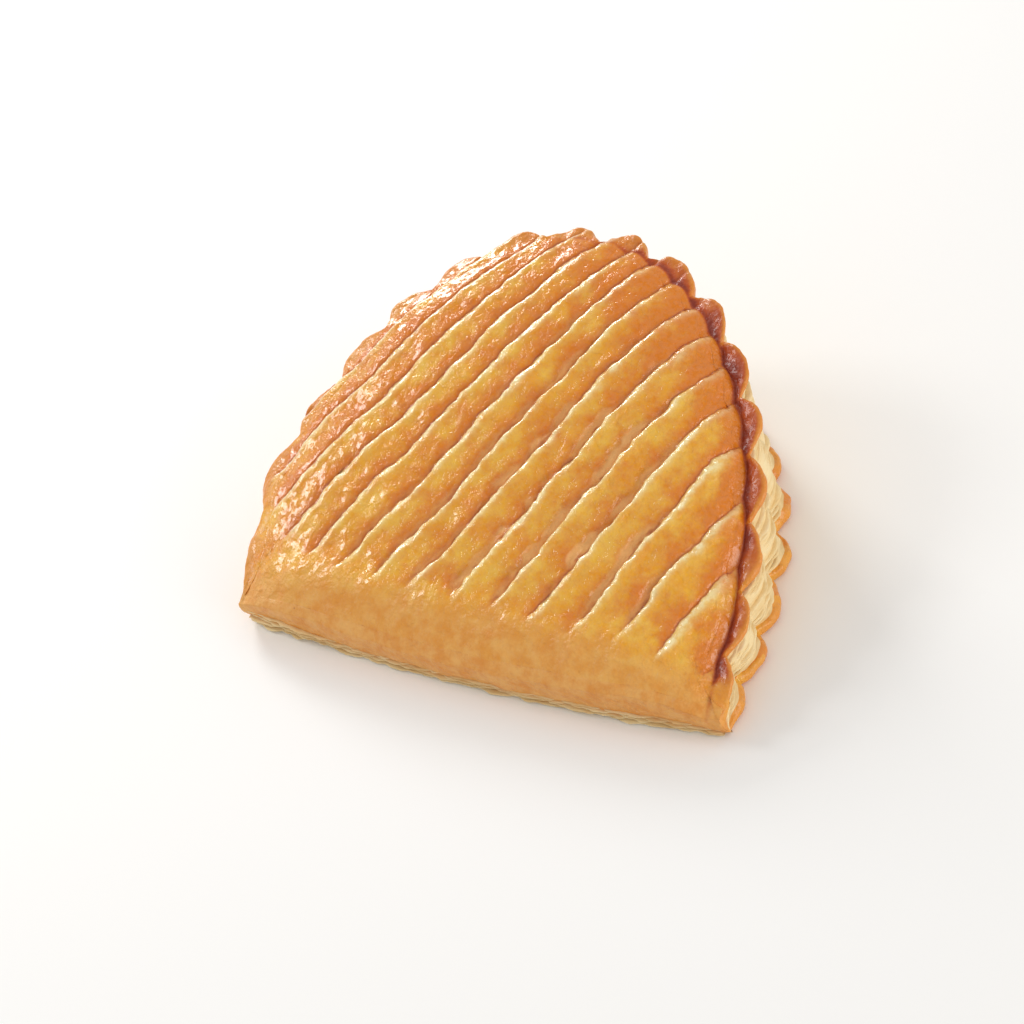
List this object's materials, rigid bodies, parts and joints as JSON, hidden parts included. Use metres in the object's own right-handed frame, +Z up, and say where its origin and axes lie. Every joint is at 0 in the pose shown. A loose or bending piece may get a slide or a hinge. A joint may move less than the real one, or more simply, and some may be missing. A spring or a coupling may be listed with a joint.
{
  "type": "turnover pastry",
  "caption": "Baked puff pastry turnover: a wedge with a rounded folded edge, an arched scalloped rim, flaky sides and a fan of slanting slits through the glazed crust.",
  "frame": {"origin": "middle of the pastry's bounding box, on its flat base", "axes": "+X along the folded edge to its right end, +Y from the fold to the back of the curved rim, +Z up"},
  "size_m": [0.1296, 0.0992, 0.0423],
  "materials": {
    "crust": "golden-brown baked crust with a shiny egg glaze",
    "layers": "pale cream flaky pastry layers, matte and soft"
  },
  "bodies": {
    "root": {"turnover": "crust"}
  },
  "joints": []
}
